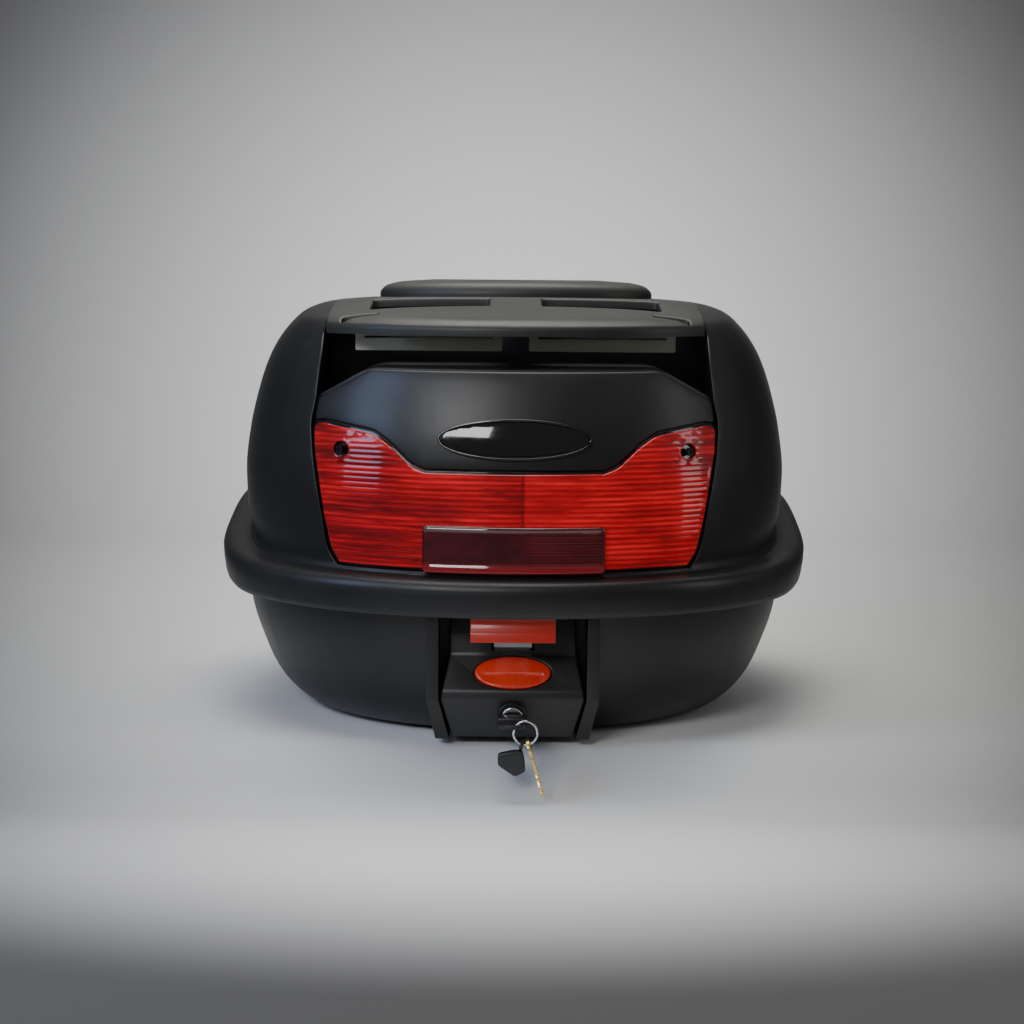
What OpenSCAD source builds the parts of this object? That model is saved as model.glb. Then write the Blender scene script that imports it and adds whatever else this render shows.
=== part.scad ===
// Motorcycle top case with a hinged lid, a rear reflector, a roof rack and a keyed latch.
// Origin: centre of the underside. +Z up, -Y towards the rider behind, +Y towards the seat.

/* [Case] */
// Full width over the skirt
case_w = 414; // [400:1:430]
// Distance from the origin to the rearmost edge of the skirt
rear_d = 202; // [196:1:208]
// Distance from the origin to the front edge of the skirt
front_d = 196; // [190:1:200]
// How much higher the parting line is at the front than at the rear
lift_h = 42; // [30:1:46]
// Segments round the shells
shell_n = 72; // [48:4:80]

/* [Hinges] */
// Distance of each hinge from the middle
hinge_x = 90; // [84:1:96]
// Hinge pin radius
pin_r = 3; // [2.5:0.1:3.2]
// Radial running clearance of the pins
pin_gap = 0.05; // [0.03:0.01:0.08]

/* [Lock] */
// Width of the recess that holds the lock
recess_w = 95; // [92:1:98]
// Lock plug radius
plug_r = 6.8; // [6.4:0.1:7]
// Height of the lock above the underside
lock_z = 20; // [19:0.5:21]
// Push button width
button_w = 49; // [44:1:50]

/* [Reflector] */
// Gap between each outside trim piece and its neighbour
trim_gap = 0.3; // [0.2:0.05:0.4]
// Badge width
badge_w = 98; // [90:1:100]
// Badge height
badge_h = 26; // [22:1:28]

/* [Mounting] */
// Mounting hole radius, for M6
mount_r = 3.25; // [3.1:0.05:3.4]
// Mounting hole spacing across
mount_dx = 110; // [90:1:120]
// Mounting hole spacing along
mount_dy = 70; // [60:1:80]

/* [Hidden] */

black = [0.06, 0.06, 0.065];
half_w = case_w / 2;
n_rear = 2.1;
n_front = 3.2;
lift_from = -110;
lift_run = 280;

// Lid sections from the roof down: height, half width, rear depth, front depth.
lid_top = [
    [285, 106, 22, 118], [283.5, 124, 48, 128], [281, 137, 70, 137], [276, 149, 110, 146],
    [270, 156, 151, 153], [258, 166, 162, 163], [242, 174.5, 171, 171], [217, 182, 179.5, 179],
    [190, 187.5, 185.5, 184], [160, 190.5, 188, 187], [135, 189.5, 188.5, 187.5],
    [114, 186, 188, 186]];
// Skirt sections outside, from the ledge down to the lower lip.
skirt_out = [
    [110.5, half_w - 5, rear_d - 5, front_d - 4], [107, half_w - 0.5, rear_d - 0.7, front_d - 0.5],
    [103, half_w, rear_d, front_d], [89, half_w - 1.5, rear_d - 1.5, front_d - 1.5],
    [86, half_w - 3, rear_d - 3, front_d - 3]];
lid_wall = 3;
rear_wall = 8;
// Tub sections outside, from the underside up to the rim.
tub_out = [
    [0, 130, 124, 128], [3, 144, 140, 142], [12, 158, 154, 156], [26, 170, 165, 166],
    [45, 179, 174, 174], [66, 186.5, 180.5, 180], [90, 190.5, 184.5, 184],
    [92, 197, 191, 189.5], [98, 197, 191, 189.5]];
tub_in = [
    [98, 187, 181, 180.5], [66, 183, 177, 176.5], [45, 175.5, 170.5, 170.5],
    [26, 166.5, 161.5, 162.5], [12, 154, 150, 152], [5, 140, 136, 138], [4, 128, 122, 126]];

// Rear trim, seen from behind: x and z of each outline.
recess_side = [[133, 203], [132, 188], [125, 146], [120, 122], [114, 113.5]];
lens_top = [[124, 205], [90, 199.5], [80, 193], [66, 180], [57, 176.5]];
lens_side = [[131, 203], [130.5, 188], [123.5, 146], [118.5, 124], [113, 115.5]];
handhold = [[-127, 300], [-127, 263], [-130, 221], [-95, 241], [95, 241], [130, 221],
    [127, 263], [127, 300]];
rack_x = 126.7;
rack_front = -30.4;
reflector_screw_x = 112;
reflector_screw_z = 189;
centre_lens_x = 58;
badge_z = 198;

plate_x = 75;
plate_y = 55;
housing_screw_places = [[-33, 75], [33, 75], [-31, 15], [31, 15]];
bracket_screw_places = [for (side = [-1, 1], x = [-12, 12]) [side * hinge_x + x, 108]];
arm_screw_heights = [137.2, 145.6];
hinge_y = 206;
hinge_z = lift_h + 82;
knuckle_r = 6.5;
knuckle_half = 6.3;
lug_w = 12;
screw_hole_r = 2.05;

latch_y = -190.5;
latch_z = 95;
latch_half = 27;
latch_pin_r = 1.5;
button_mid = [0, -173.25, 47.25];
button_turn = 56;
plug_front = -184;
sleeve_r = 8.5;
key_y = -207;
head_half = 9.5;
eye_r = 3.4;
eye_x = head_half - 2.4 - eye_r;
ring_r = 7.5;
wire_r = 0.7;
ring_mid = [head_half - 1.2, key_y, lock_z - 4.7];
hang_angle = 16;

function power(u, p) = sign(u) * pow(abs(u), p);
function smooth(s) = s <= 0 ? 0 : s >= 1 ? 1 : s * s * (3 - 2 * s);
function lift(y) = lift_h * smooth((y - lift_from) / lift_run);
// Share of the lift that a section takes: none on the roof and the underside, all at the rim.
function lid_share(z) = min(1, max(0, (240 - z) / 120));
function tub_share(z) = pow(min(1, z / 84), 1.4);

// One closed outline point at angle t of a section.
function outline_at(s, t) =
    let (n = sin(t) < 0 ? n_rear : n_front, d = sin(t) < 0 ? s[2] : s[3])
    [s[1] * power(cos(t), 2 / n), d * power(sin(t), 2 / n)];
function ring_points(s, share) =
    [for (i = [0 : shell_n - 1])
        let (p = outline_at(s, 360 * i / shell_n))
        [p[0], p[1], s[0] + share * lift(p[1])]];
function grow(sections, side, rear, up = 0) =
    [for (s = sections) [s[0] + up, s[1] + side, s[2] + rear, s[3] + side]];
function reverse(list) = [for (i = [len(list) - 1 : -1 : 0]) list[i]];

// Strips across a ring from side to side, which follow the lift of its two halves.
function cap_strips(first) =
    [for (j = [0 : shell_n / 2 - 1])
        let (right = first + (3 * shell_n / 4 + j) % shell_n,
            next_right = first + (3 * shell_n / 4 + j + 1) % shell_n,
            left = first + (3 * shell_n / 4 - j) % shell_n,
            next_left = first + (3 * shell_n / 4 - j - 1) % shell_n)
        j == 0 ? [right, next_right, next_left]
            : j == shell_n / 2 - 1 ? [right, next_right, left]
            : [right, next_right, next_left, left]];

// Solid that joins sections in order and closes its first and last section with caps.
module loft(sections, lid = true) {
    rings = [for (s = sections) ring_points(s, lid ? lid_share(s[0]) : tub_share(s[0]))];
    count = len(sections);
    sides = [for (k = [0 : count - 2], i = [0 : shell_n - 1])
        let (j = (i + 1) % shell_n)
        each [[k * shell_n + i, k * shell_n + j, (k + 1) * shell_n + j],
            [k * shell_n + i, (k + 1) * shell_n + j, (k + 1) * shell_n + i]]];
    first_cap = [for (strip = cap_strips(0)) reverse(strip)];
    faces = concat(first_cap, sides, cap_strips((count - 1) * shell_n));
    going_up = sections[0][0] < sections[count - 1][0];
    polyhedron([for (r = rings) each r], [for (f = faces) going_up ? reverse(f) : f]);
}

// The lid's outside down to the ledge, grown outwards or inwards.
module lid_body(side, rear, up = 0) {
    loft(concat(grow(lid_top, side, rear, up), [[100, 186 + side, 188 + rear, 186 + side]]));
}

// A prism along -Y, from a flat outline in x and z.
module rear_prism(from_y = 0) {
    translate([0, from_y, 0])
        rotate([90, 0, 0])
            linear_extrude(height = 230)
                children();
}

function mirror_x(path) = [for (p = reverse(path)) [-p[0], p[1]]];
function both_sides(path) = concat(path, mirror_x(path));
panel_recess = both_sides(concat([[95, 241], [130, 221]], recess_side));
lens_outline = both_sides(concat(reverse(lens_top), lens_side));
panel_outline = both_sides(concat([[94, 240], [129, 220.5], [131.5, 205.5]],
    [for (p = lens_top) [p[0], p[1] + 2]]));

// Layer of the rear surface between two depths, cut to a flat outline in x and z.
module rear_layer(inner, outer) {
    resize([0, 0, 0])
        intersection() {
            difference() {
                lid_body(outer, outer);
                lid_body(inner, inner);
            }
            rear_prism(-60) children();
        }
}

module box(low, high) {
    translate(low) cube(high - low);
}

// ---- Tub and what is fixed to it

recess_outline = [[-recess_w / 2, 87], [-recess_w / 2, 31], [-recess_w / 2 + 8, -1],
    [recess_w / 2 - 8, -1], [recess_w / 2, 31], [recess_w / 2, 87]];

// One side wall of the lock recess, from the rim down to the underside.
module cheek() {
    hull() {
        box([recess_w / 2, -184.5, 84], [recess_w / 2 + 8, -148, 87]);
        box([recess_w / 2, -182, 31], [recess_w / 2 + 8, -148, 32]);
    }
    hull() {
        box([recess_w / 2, -182, 30], [recess_w / 2 + 8, -148, 31]);
        box([recess_w / 2 - 8, -174, 4], [recess_w / 2 + 2, -130, 5]);
    }
}

module base_shell() {
    color(black)
        resize([0, 0, 0])
            difference() {
                union() {
                    difference() {
                        loft(tub_out, lid = false);
                        difference() {
                            loft(concat([[98.5, 187, 181, 180.5]], tub_in), lid = false);
                            box([-recess_w / 2 - 4, -200, 3], [recess_w / 2 + 4, -146, 90]);
                        }
                    }
                    cheek();
                    mirror([1, 0, 0]) cheek();
                    for (side = [-1, 1])
                        box([side * hinge_x - 20, 170, 100], [side * hinge_x + 20, 186, 125]);
                }
                rear_prism(-149.5) polygon(recess_outline);
                // Room for the latch and its bracket to rise through the rim flange.
                box([-36, -205, 86.5], [36, -186.2, 99]);
                box([-plate_x - 0.1, -plate_y - 0.1, -1], [plate_x + 0.1, plate_y + 0.1, 7]);
                for (p = housing_screw_places)
                    translate([p[0], -155, p[1]]) along_y() cylinder(r = screw_hole_r, h = 12, $fn = 16);
                for (p = bracket_screw_places)
                    translate([p[0], 168, p[1]]) along_y() cylinder(r = screw_hole_r, h = 20, $fn = 16);
            }
}

// Turns a shape that stands on +Z to point along +Y.
module along_y() {
    rotate([-90, 0, 0]) children();
}

// Turns a shape that stands on +Z to point along +X.
module along_x() {
    rotate([0, 90, 0]) children();
}

module mount_plate() {
    color("dimgray")
        difference() {
            box([-plate_x, -plate_y, 0], [plate_x, plate_y, 6]);
            for (x = [-1, 1], y = [-1, 1])
                translate([x * mount_dx / 2, y * mount_dy / 2, -1])
                    cylinder(r = mount_r, h = 8, $fn = 48);
            // Slots for the hooks of a carrier plate.
            for (side = [-1, 1])
                box([side * 30 - 9, 28, -1], [side * 30 + 9, 36, 8]);
            box([-14, -38, -1], [14, -30, 8]);
        }
}

module rim_seal() {
    color("black")
        resize([0, 0, 0])
            difference() {
                loft([[98.1, 191.6, 185.6, 185.1], [101.5, 191.6, 185.6, 185.1]], lid = false);
                loft([[97, 188.6, 182.6, 182.1], [103, 188.6, 182.6, 182.1]], lid = false);
            }
}

housing_side = [[-150, 5], [-173, 5], [-181, 31], [-180.5, 36.5], [-166, 58], [-163, 84], [-150, 84]];
housing_hollow = [[-149, 8], [-170.5, 8], [-177.8, 31], [-177.2, 35.5], [-163, 56.7], [-160, 81],
    [-149, 81]];
housing_front = [[-41, 85], [-41, 58], [-45.5, 37], [-46.3, 31], [-38.5, 4]];
hollow_front = [[-38, 85], [-38, 58], [-42.5, 37], [-43.3, 31], [-36, 4]];

// Turns a side profile in y and z into a bar along X.
module side_bar(profile, half) {
    rotate([90, 0, 90])
        linear_extrude(height = 2 * half, center = true)
            polygon(profile);
}

module oval(half_long, half_high) {
    polygon([for (t = [0 : 7.5 : 352.5]) [half_long * cos(t), half_high * sin(t)]]);
}

// Places a shape on the sloping face of the housing, with +Z out of the face.
module on_button_face() {
    translate(button_mid) rotate([button_turn, 0, 0]) children();
}

module lock_housing() {
    color([0.08, 0.08, 0.085])
        difference() {
            union() {
                difference() {
                    intersection() {
                        side_bar(housing_side, 50);
                        rear_prism(-140) polygon(both_sides(housing_front));
                    }
                    intersection() {
                        side_bar(housing_hollow, 50);
                        rear_prism(-140) polygon(both_sides(hollow_front));
                    }
                }
                for (p = housing_screw_places)
                    translate([p[0], p[1] > 40 ? -164 : -174, p[1]])
                        along_y() cylinder(r = 3.8, h = p[1] > 40 ? 14 : 24, $fn = 32);
            }
            on_button_face()
                translate([0, 0, -8]) linear_extrude(height = 12) oval(button_w / 2 + 0.4, 11.6);
            translate([0, -190, lock_z]) along_y() cylinder(r = sleeve_r + 0.05, h = 24, $fn = 64);
            box([-14, -172, 60.5], [14, -155, 71.5]);
            for (p = housing_screw_places)
                translate([p[0], -160, p[1]]) along_y() cylinder(r = 1.55, h = 12, $fn = 24);
        }
}

module lock_sleeve() {
    color([0.03, 0.03, 0.03])
        difference() {
            union() {
                translate([0, -182, lock_z]) along_y() cylinder(r = sleeve_r, h = 26, $fn = 64);
                translate([0, -183.4, lock_z]) along_y() cylinder(r = 9.6, h = 2.2, $fn = 64);
            }
            translate([0, -190, lock_z]) along_y() cylinder(r = plug_r + 0.05, h = 40, $fn = 64);
        }
}

module lock_nut() {
    color("silver")
        difference() {
            translate([0, -169.5, lock_z]) along_y() cylinder(r = 11.5, h = 4.5, $fn = 6);
            translate([0, -175, lock_z]) along_y() cylinder(r = sleeve_r + 0.05, h = 15, $fn = 64);
        }
}

// A pan-head screw that points along -Y, with its head's seat at the origin.
module screw(length, head_r = 3.4, shank_r = 1.5) {
    rotate([90, 0, 0]) cylinder(r = shank_r, h = length, $fn = 32);
    difference() {
        rotate([-90, 0, 0]) cylinder(r = head_r, h = 2.2, $fn = 32);
        box([-2.2, 1.2, -0.4], [2.2, 3, 0.4]);
        box([-0.4, 1.2, -2.2], [0.4, 3, 2.2]);
    }
}

module housing_screws() {
    color("silver")
        for (p = housing_screw_places)
            translate([p[0], -145.9, p[1]]) screw(12);
}

module hinge_brackets() {
    color("dimgray")
        for (side = [-1, 1])
            translate([side * hinge_x, 0, 0])
                difference() {
                    union() {
                        box([-19.1, 186.1, 102], [19.1, 189.5, 123.5]);
                        for (lug = [-1, 1]) {
                            box([lug * 13 - lug_w / 2, 189, 118], [lug * 13 + lug_w / 2, hinge_y, hinge_z]);
                            translate([lug * 13 - lug_w / 2, hinge_y, hinge_z])
                                along_x() cylinder(r = knuckle_r, h = lug_w, $fn = 48);
                        }
                    }
                    translate([-30, hinge_y, hinge_z])
                        along_x() cylinder(r = pin_r + pin_gap, h = 60, $fn = 48);
                    for (x = [-12, 12])
                        translate([x, 180, 108]) along_y() cylinder(r = 1.6, h = 12, $fn = 24);
                }
}

module hinge_pins() {
    color("silver")
        for (side = [-1, 1])
            translate([side * hinge_x - 20, hinge_y, hinge_z])
                along_x() cylinder(r = pin_r, h = 40, $fn = 48);
}

module bracket_screws() {
    color("silver")
        for (p = bracket_screw_places)
            translate([p[0], 189.6, p[1]]) screw(12);
}

// ---- Lid and what is fixed to it

module lid_shell() {
    color(black)
        resize([0, 0, 0])
            difference() {
                union() {
                    lid_body(0, 0);
                    loft(skirt_out);
                    for (side = [-1, 1])
                        box([side * hinge_x - 8, 184, 130], [side * hinge_x + 8, 199, 150]);
                }
                difference() {
                    loft(concat(grow(lid_top, -lid_wall, -rear_wall, -lid_wall), [[100, 183, 180, 183]]));
                    rear_prism(-27) offset(delta = 3) polygon(handhold);
                }
                loft([[104, half_w - 4, rear_d - 4, front_d - 4],
                    [85, half_w - 5.6, rear_d - 5.6, front_d - 5.6]]);
                rear_prism(-30) polygon(handhold);
                difference() {
                    rear_prism(-60) polygon(panel_recess);
                    lid_body(-4, -4);
                }
                for (side = [-1, 1], z = arm_screw_heights)
                    translate([side * hinge_x, 186, z]) along_y() cylinder(r = screw_hole_r, h = 20, $fn = 16);
            }
}

module roof_rack() {
    color([0.1, 0.1, 0.095])
        resize([0, 0, 0])
            difference() {
                intersection() {
                    lid_body(1.5, 1.5, 1.5);
                    box([-rack_x, -170, 262], [rack_x, rack_front, 300]);
                }
                difference() {
                    lid_body(-14, -14, -4);
                    // Ribs that carry the inserts.
                    for (side = [-1, 1])
                        box([side * 58 - 49, -93.4, 262], [side * 58 + 49, -90, 300]);
                }
                // Strap openings.
                for (side = [-1, 1])
                    box([side * 58 - 40, -86, 250], [side * 58 + 40, -44, 300]);
                for (side = [-1, 1])
                    box([side * 103 - 12, -112, 250], [side * 103 + 12, -104, 300]);
            }
}

module handhold_inserts() {
    color([0.3, 0.3, 0.26])
        for (side = [-1, 1])
            difference() {
                box([side * 58 - 49, -96.5, 250.5], [side * 58 + 49, -93.5, 264.5]);
                box([side * 58 - 43, -97, 258.8], [side * 58 + 43, -96, 260]);
            }
}

module crown_panel() {
    color([0.1, 0.1, 0.095])
        translate([0, 54, 0])
            loft([[298, 60, 44, 44], [296.4, 84, 55, 55], [293, 96, 61, 61], [288, 100, 63, 63],
                [285.2, 100, 63, 63]]);
}

module rear_panel() {
    color(black) rear_layer(-3.9, -1.5) polygon(panel_outline);
}

module reflector_tray() {
    color([0.02, 0.02, 0.02]) rear_layer(-3.9, -2) offset(delta = 1.2) polygon(lens_outline);
}

module reflector_lens() {
    color([0.75, 0.03, 0.05])
        rear_layer(-1.8, 0.8)
            difference() {
                polygon(lens_outline);
                for (side = [-1, 1])
                    translate([side * reflector_screw_x, reflector_screw_z]) circle(r = 4.8, $fn = 24);
            }
}

module centre_lens() {
    color([0.2, 0.01, 0.02])
        rear_layer(0.8 + trim_gap, 5.5)
            polygon([[-centre_lens_x, 113.2], [centre_lens_x, 113.2], [centre_lens_x, 143.5],
                [-centre_lens_x, 143.5]]);
}

module badge_plate() {
    color([0.01, 0.01, 0.01])
        rear_layer(-1.4, 0.5)
            translate([0, badge_z]) oval(badge_w / 2 - 1.6, badge_h / 2 - 1.6);
}

module badge_bezel() {
    color("silver")
        rear_layer(-1.4, 0.9)
            translate([0, badge_z])
                difference() {
                    oval(badge_w / 2, badge_h / 2);
                    oval(badge_w / 2 - 1.5, badge_h / 2 - 1.5);
                }
}

// Puts a shape on the rear surface at a reflector screw, with -Y out of the surface.
module at_reflector_screw(side) {
    translate([side * reflector_screw_x, -152.6, reflector_screw_z])
        rotate([0, 0, side * 36]) children();
}

module reflector_screws() {
    color([0.2, 0.2, 0.2])
        for (side = [-1, 1])
            at_reflector_screw(side) mirror([0, 1, 0]) screw(0.3, 2.6, 1.2);
}

module hinge_arms() {
    color("dimgray")
        for (side = [-1, 1])
            translate([side * hinge_x, 0, 0])
                difference() {
                    union() {
                        box([-knuckle_half, 199.1, 131], [knuckle_half, 202.5, 150]);
                        box([-knuckle_half, 201, hinge_z + 1], [knuckle_half, 206, 134]);
                        translate([-knuckle_half, hinge_y, hinge_z])
                            along_x() cylinder(r = knuckle_r, h = 2 * knuckle_half, $fn = 48);
                    }
                    translate([-30, hinge_y, hinge_z])
                        along_x() cylinder(r = pin_r + pin_gap, h = 60, $fn = 48);
                    for (z = arm_screw_heights)
                        translate([0, 190, z]) along_y() cylinder(r = 1.6, h = 20, $fn = 24);
                }
}

module arm_screws() {
    color("silver")
        for (side = [-1, 1], z = arm_screw_heights)
            translate([side * hinge_x, 202.6, z]) screw(12, 2.6);
}

module latch_bracket() {
    color("dimgray")
        for (side = [-1, 1])
            difference() {
                box([side * 31 - 2, -194.5, 89.5], [side * 31 + 2, -187, 103.9]);
                translate([side * 31 - 5, latch_y, latch_z])
                    along_x() cylinder(r = latch_pin_r, h = 10, $fn = 32);
            }
}

module latch_pin() {
    color("silver")
        translate([-33, latch_y, latch_z]) along_x() cylinder(r = latch_pin_r, h = 66, $fn = 32);
}

// ---- Moving pieces of the latch and the lock

module lid_latch() {
    color([0.65, 0.05, 0.03])
        difference() {
            union() {
                translate([-latch_half, latch_y, latch_z])
                    along_x() cylinder(r = 3.2, h = 2 * latch_half, $fn = 48);
                side_bar([[-192.2, 95], [-189, 95], [-188.6, 78], [-187.2, 77], [-187.2, 73.6],
                    [-189.6, 73.6], [-191.2, 70.6], [-194.8, 70.2], [-191.9, 78]], latch_half);
            }
            translate([-40, latch_y, latch_z])
                along_x() cylinder(r = latch_pin_r + 0.05, h = 80, $fn = 32);
        }
}

module release_button() {
    color([0.8, 0.06, 0.03])
        on_button_face() {
            translate([0, 0, -4]) linear_extrude(height = 4.6) oval(button_w / 2, 11.2);
            translate([0, 0, 0.6]) linear_extrude(height = 1.2) oval(button_w / 2 - 1, 10.2);
            translate([0, 0, -6]) linear_extrude(height = 2) oval(button_w / 2 + 2, 12.4);
        }
}

module catch_slide() {
    color("silver") {
        box([-12, -159, 50], [12, -157, 69]);
        box([-12, -185.4, 66.5], [12, -157, 69]);
        box([-12, -186.9, 66.5], [12, -185.4, 71.5]);
    }
}

module lock_cylinder() {
    color("silver")
        difference() {
            translate([0, plug_front, lock_z]) along_y() cylinder(r = plug_r, h = 30, $fn = 64);
            box([-3.7, plug_front - 1, lock_z - 1.3], [3.7, -161, lock_z + 1.3]);
        }
}

module lock_cam() {
    color("silver")
        hull() {
            translate([0, -153.9, lock_z]) along_y() cylinder(r = 6, h = 2, $fn = 32);
            translate([0, -153.9, lock_z + 14]) along_y() cylinder(r = 3, h = 2, $fn = 32);
        }
}

module key_blade() {
    color("silver") box([-3.4, -187.1, lock_z - 1], [3.4, -162, lock_z + 1]);
}

module key_head() {
    color([0.03, 0.03, 0.03])
        difference() {
            union() {
                hull() {
                    box([-7, -188, lock_z - 3], [7, -187.2, lock_z + 3]);
                    box([-head_half, -200, lock_z - 3], [head_half, -193, lock_z + 3]);
                }
                hull() {
                    box([-head_half, -207, lock_z - 1.3], [head_half, -199, lock_z + 1.3]);
                    box([-5, -213.5, lock_z - 1.3], [5, -212, lock_z + 1.3]);
                }
            }
            translate([eye_x, key_y, lock_z - 5]) cylinder(r = eye_r, h = 10, $fn = 48);
        }
}

module key_ring() {
    color("silver")
        translate(ring_mid)
            rotate([90, 0, 0])
                rotate_extrude($fn = 64)
                    translate([ring_r, 0]) circle(r = wire_r, $fn = 16);
}

// Puts a shape on the ring, hanging at an angle from straight down.
module on_ring(angle) {
    translate(ring_mid)
        rotate([0, -angle, 0])
            translate([0, 0, -ring_r]) children();
}

module spare_key() {
    color([0.8, 0.65, 0.3])
        on_ring(hang_angle)
            difference() {
                union() {
                    translate([-1, 0, -3]) along_x() cylinder(r = 7, h = 2, $fn = 48);
                    box([-1, -3.2, -35], [1, 3.2, -8]);
                }
                translate([-3, 0, 0]) along_x() cylinder(r = 2, h = 6, $fn = 32);
            }
}

module key_fob() {
    color([0.04, 0.04, 0.05]) {
        on_ring(-hang_angle)
            difference() {
                translate([-1, 0, -0.8]) along_x() cylinder(r = 3.6, h = 2, $fn = 32);
                translate([-3, 0, 0]) along_x() cylinder(r = 1.8, h = 6, $fn = 32);
            }
        translate([0, key_y + 2.6, 0])
            rotate([90, 0, 0])
                linear_extrude(height = 5.2)
                    polygon([[-9, 2], [1, 4.2], [6.6, 4.2], [8, -2], [8.6, -9], [2, -12.5], [-4, -8.5],
                        [-9, -5]]);
    }
}

base_shell();
mount_plate();
rim_seal();
lock_housing();
lock_sleeve();
lock_nut();
housing_screws();
hinge_brackets();
hinge_pins();
bracket_screws();
lid_shell();
roof_rack();
handhold_inserts();
crown_panel();
rear_panel();
reflector_tray();
reflector_lens();
centre_lens();
badge_plate();
badge_bezel();
reflector_screws();
hinge_arms();
arm_screws();
latch_bracket();
latch_pin();
lid_latch();
release_button();
catch_slide();
lock_cylinder();
lock_cam();
key_blade();
key_head();
key_ring();
spare_key();
key_fob();
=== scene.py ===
"""Looks of a motorcycle top case: shells, trim, rack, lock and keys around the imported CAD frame."""
import math

import bmesh
import bpy
from mathutils import Matrix, Vector, geometry


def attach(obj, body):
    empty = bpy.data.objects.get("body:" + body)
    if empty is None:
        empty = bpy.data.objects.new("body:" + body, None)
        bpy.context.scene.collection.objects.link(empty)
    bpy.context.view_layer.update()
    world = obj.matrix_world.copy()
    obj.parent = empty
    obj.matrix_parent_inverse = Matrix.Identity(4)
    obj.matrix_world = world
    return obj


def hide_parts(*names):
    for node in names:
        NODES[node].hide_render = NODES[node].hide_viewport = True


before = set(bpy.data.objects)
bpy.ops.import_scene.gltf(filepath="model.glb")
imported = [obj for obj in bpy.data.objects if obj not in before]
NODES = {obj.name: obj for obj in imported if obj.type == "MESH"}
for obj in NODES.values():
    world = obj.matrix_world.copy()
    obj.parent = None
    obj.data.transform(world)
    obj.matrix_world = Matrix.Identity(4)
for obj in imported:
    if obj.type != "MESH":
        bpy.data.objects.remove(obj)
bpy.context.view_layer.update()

MM = 0.001


def new_object(name, data):
    obj = bpy.data.objects.new(name, data)
    bpy.context.collection.objects.link(obj)
    return obj


# ---- camera

CAMERA_DISTANCE = 1.5
CAMERA_ELEVATION = math.radians(6.5)
CAMERA_TARGET = Vector((0, 0, 0.130))
CAMERA_ROLL = math.radians(0.5)
CAMERA_LENS = 73.16
CAMERA_SHIFT = (-0.002, 0.0023)
SENSOR_WIDTH = 36
CLIP_END = 30


def make_camera():
    data = bpy.data.cameras.new("camera")
    data.lens = CAMERA_LENS
    data.sensor_width = SENSOR_WIDTH
    data.shift_x, data.shift_y = CAMERA_SHIFT
    data.clip_end = CLIP_END
    camera = new_object("camera", data)
    back = Vector((0, -math.cos(CAMERA_ELEVATION), math.sin(CAMERA_ELEVATION)))
    camera.location = CAMERA_TARGET + CAMERA_DISTANCE * back
    aim = (-back).to_track_quat("-Z", "Y").to_matrix().to_4x4()
    camera.rotation_euler = (aim @ Matrix.Rotation(CAMERA_ROLL, 4, "Z")).to_euler()
    bpy.context.scene.camera = camera


make_camera()

# ---- shape rules, in mm

# The parting line rises towards the front.
LIFT_H = 42
LIFT_FROM = -110
LIFT_RUN = 280
LID_LIFT_END, LID_LIFT_FADE = 240, 120
TUB_LIFT_FULL, TUB_LIFT_POWER = 84, 1.4
# Exponents of the superellipse that each half of a section follows.
N_REAR = 2.1
N_FRONT = 3.2
SHELL_SEGMENTS = 224
ROOF_LOW, ROOF_HIGH, ROOF_STEPS = 240, 285, 26

# Sections of the shells: height, half width, rear depth, front depth.
LID = [
    (285, 106, 22, 118), (283.5, 124, 48, 128), (281, 137, 70, 137), (276, 149, 110, 146),
    (270, 156, 151, 153), (258, 166, 162, 163), (242, 174.5, 171, 171), (217, 182, 179.5, 179),
    (190, 187.5, 185.5, 184), (160, 190.5, 188, 187), (135, 189.5, 188.5, 187.5),
    (114, 186, 188, 186), (100, 186, 188, 186)]
SKIRT = [
    (113.2, 186.9, 188.2, 186.4), (111.6, 187.8, 189, 187.2), (110.9, 189.5, 190.2, 188.6),
    (110.6, 192.5, 192.2, 190), (110.3, 197, 194.5, 191.2), (109.6, 201.2, 197.2, 192.6),
    (108.3, 204.3, 199.6, 194.3), (106.2, 206.2, 201.2, 195.4), (103.4, 207, 202, 196),
    (97, 206.6, 201.6, 195.6), (90, 205.6, 200.6, 194.6), (87.6, 205, 200, 194),
    (86.3, 204.1, 199.1, 193.1), (86, 203.2, 198.2, 192.2), (86.2, 202.1, 197.1, 191.1),
    (87, 201.6, 196.6, 190.6), (102.5, 202.8, 197.8, 191.8), (103.6, 202, 197, 191),
    (104, 200, 195, 190), (104, 190, 187, 187), (104.6, 185, 182, 184), (107, 183, 180, 183)]
TUB = [
    (0, 130, 124, 128), (3, 144, 140, 142), (12, 158, 154, 156), (26, 170, 165, 166),
    (45, 179, 174, 174), (66, 186.5, 180.5, 180), (90, 190.5, 184.5, 184)]
TUB_RIM = [
    (91.2, 192, 186, 185.4), (91.8, 195.8, 189.8, 188.4), (92.6, 197, 191, 189.5),
    (97.2, 197, 191, 189.5), (98, 196.2, 190.2, 188.8), (98, 188, 182, 181.4)]
TUB_IN = [
    (97.4, 187, 181, 180.5), (66, 183, 177, 176.5), (45, 175.5, 170.5, 170.5),
    (26, 166.5, 161.5, 162.5), (12, 154, 150, 152), (5, 140, 136, 138), (4, 128, 122, 126)]
# Half width of the rear opening at each height, from the ledge up to the roof.
OPENING = [
    (113.5, 114), (122, 120), (146, 125), (188, 132), (203, 133), (221, 130), (263, 127),
    (300, 127)]
LENS_TOP = [(124, 205), (90, 199.5), (80, 193), (66, 180), (57, 176.5)]
LENS_SIDE = [(131, 203), (130.5, 188), (123.5, 146), (118.5, 124), (113, 115.5)]


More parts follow.
